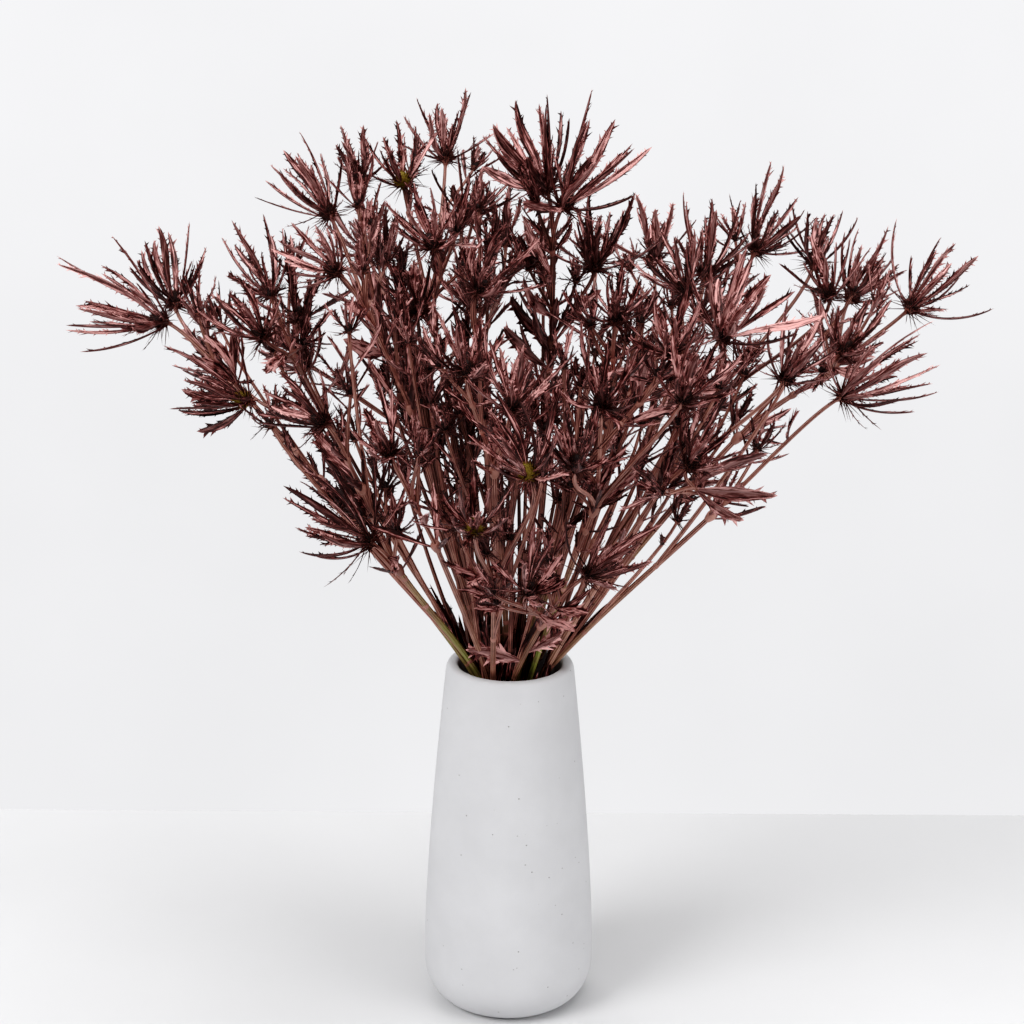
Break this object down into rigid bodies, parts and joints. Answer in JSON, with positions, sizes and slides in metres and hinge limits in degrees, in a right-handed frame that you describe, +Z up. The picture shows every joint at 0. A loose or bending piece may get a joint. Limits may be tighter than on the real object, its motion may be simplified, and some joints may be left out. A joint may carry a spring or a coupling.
{
  "type": "sea holly stems in a vase",
  "caption": "Dried, dyed sea holly stems with spiny bract ruffs, leaf whorls and small cones, fanned out of a tapered matt stoneware vase with a rounded heel.",
  "frame": {"origin": "centre of the vase's flat underside", "axes": "+Z up along the vase's axis; +X to the right and +Y to the back, seen from the fuller front"},
  "size_m": [0.5788, 0.4736, 0.6197],
  "materials": {
    "vase": "matt, unglazed, fine pits",
    "stem": "dried stem, leaf and bract, dyed a satin copper brown"
  },
  "bodies": {
    "root": {"vase": "vase", "stem_far_left": "stem", "stem_low_left": "stem", "stem_left_fan": "stem", "stem_high_left": "stem", "stem_high_inner_left": "stem", "stem_inner_left": "stem", "stem_middle_left": "stem", "stem_tallest": "stem", "stem_inner_right": "stem", "stem_high_right": "stem", "stem_right_fan": "stem", "stem_far_right": "stem", "stem_low_right": "stem", "stem_front_left": "stem", "stem_front_right": "stem", "stem_front_middle": "stem", "stem_front_low": "stem", "stem_back_left": "stem", "stem_back_right": "stem", "stem_single_low_left": "stem", "stem_single_high_left": "stem", "stem_single_middle": "stem", "stem_single_inner_right": "stem", "stem_single_right": "stem"}
  },
  "joints": []
}
